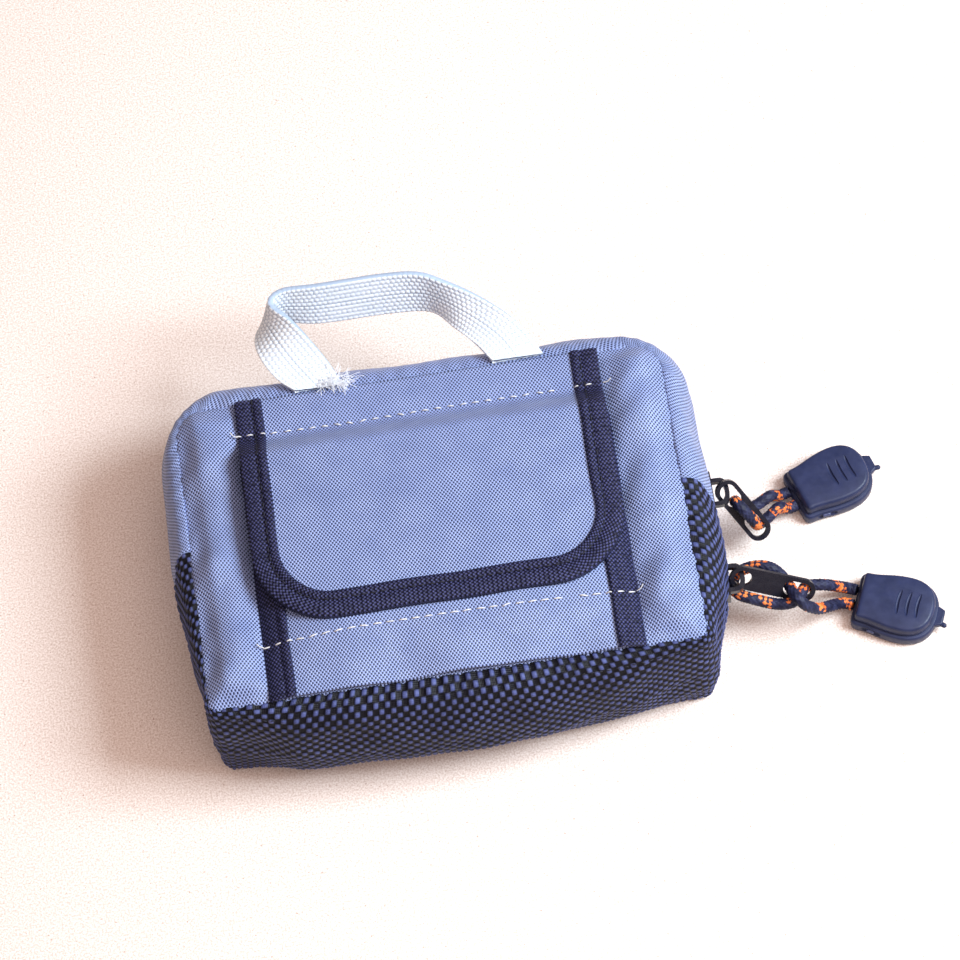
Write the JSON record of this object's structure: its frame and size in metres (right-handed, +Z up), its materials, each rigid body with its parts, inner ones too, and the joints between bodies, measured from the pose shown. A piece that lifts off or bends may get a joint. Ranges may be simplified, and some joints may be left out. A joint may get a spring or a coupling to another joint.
{
  "type": "miniature padded carry case",
  "caption": "Small padded zip case lying on its back, with a flap pocket, a webbing handle and two corded zip pulls.",
  "frame": {"origin": "centre of the back panel's outer face, which the case lies on", "axes": "+X across the case toward the zip pulls, +Y toward the handle, +Z up through the front pocket"},
  "size_m": [0.2173, 0.1304, 0.0547],
  "materials": {
    "grey_nylon": "blue-grey coated oxford nylon, fine staggered weave, soft sheen",
    "black_ballistic": "black ballistic nylon, coarse basket weave with rounded bumps",
    "black_binding": "black ribbed grosgrain binding tape",
    "webbing": "pale grey flat polypropylene webbing, diagonal rows",
    "lining": "thin dark lining taffeta",
    "foam": "closed-cell padding foam",
    "zip_tape": "black knitted zip tape",
    "zip_coil": "black nylon zip coil",
    "hook_loop": "black hook and loop tape",
    "slider_metal": "black enamelled zinc, semi-gloss with worn edges",
    "cord": "braided cord, black with an orange fleck",
    "cord_end": "black moulded plastic, finely textured"
  },
  "bodies": {
    "rear_shell": {"back_panel": "grey_nylon", "back_foam": "foam", "rear_gusset": "grey_nylon", "rear_bottom": "black_ballistic", "rear_lining": "lining", "rear_zip_tape": "zip_tape", "rear_zip_coil": "zip_coil"},
    "front_shell": {"front_panel": "grey_nylon", "front_foam": "foam", "front_gusset": "grey_nylon", "front_bottom": "black_ballistic", "front_lining": "lining", "front_zip_tape": "zip_tape", "front_zip_coil": "zip_coil", "pocket_panel": "grey_nylon", "pocket_tape_left": "black_binding", "pocket_tape_right": "black_binding", "pocket_loop_strip": "hook_loop", "flap_root": "grey_nylon"},
    "flap": {"flap_panel": "grey_nylon", "flap_binding": "black_binding", "flap_hook_strip": "hook_loop"},
    "handle": {"handle_strap": "webbing"},
    "upper_slider": {"upper_slider": "slider_metal"},
    "upper_tab": {"upper_pull_tab": "slider_metal", "upper_cord_hitch": "cord"},
    "upper_puller": {"upper_cord_lead_1": "cord", "upper_cord_lead_2": "cord", "upper_cord_end_base": "cord_end", "upper_cord_end_cap": "cord_end"},
    "lower_slider": {"lower_slider": "slider_metal"},
    "lower_tab": {"lower_pull_tab": "slider_metal", "lower_cord_hitch": "cord"},
    "lower_puller": {"lower_cord_lead_1": "cord", "lower_cord_lead_2": "cord", "lower_cord_end_base": "cord_end", "lower_cord_end_cap": "cord_end"}
  },
  "joints": [
    {"name": "lid_open", "type": "hinge", "parent": "rear_shell", "child": "front_shell", "pos_m": [0, -0.05425, 0.022], "axis": [1, 0, 0], "range_deg": [0, 110]},
    {"name": "flap_lift", "type": "hinge", "parent": "front_shell", "child": "flap", "pos_m": [0, 0.03435, 0.04575], "axis": [-1, 0, 0], "range_deg": [0, 110]},
    {"name": "handle_swing", "type": "hinge", "parent": "front_shell", "child": "handle", "pos_m": [0, 0.0469, 0.0451], "axis": [1, 0, 0], "range_deg": [-20, 45]},
    {"name": "upper_slider_travel", "type": "slide", "parent": "rear_shell", "child": "upper_slider", "axis": [0, 1, 0], "range_m": [-0.003, 0.015]},
    {"name": "lower_slider_travel", "type": "slide", "parent": "rear_shell", "child": "lower_slider", "axis": [0, -1, 0], "range_m": [-0.003, 0.007]},
    {"name": "upper_tab_swing", "type": "hinge", "parent": "upper_slider", "child": "upper_tab", "pos_m": [0.0805, 0.0055, 0.022], "axis": [0, 0, 1], "range_deg": [0, 20]},
    {"name": "lower_tab_swing", "type": "hinge", "parent": "lower_slider", "child": "lower_tab", "pos_m": [0.0805, -0.0205, 0.022], "axis": [0, 0, -1], "range_deg": [0, 11]},
    {"name": "upper_puller_sway", "type": "hinge", "parent": "upper_tab", "child": "upper_puller", "pos_m": [0.0947, 0.004, 0.01], "axis": [0, 0, 1], "range_deg": [-10, 12], "deforming": ["upper_cord_lead_1", "upper_cord_lead_2"]},
    {"name": "lower_puller_sway", "type": "hinge", "parent": "lower_tab", "child": "lower_puller", "pos_m": [0.1052, -0.0263, 0.0135], "axis": [0, 0, 1], "range_deg": [-12, 10], "deforming": ["lower_cord_lead_1", "lower_cord_lead_2"]}
  ]
}
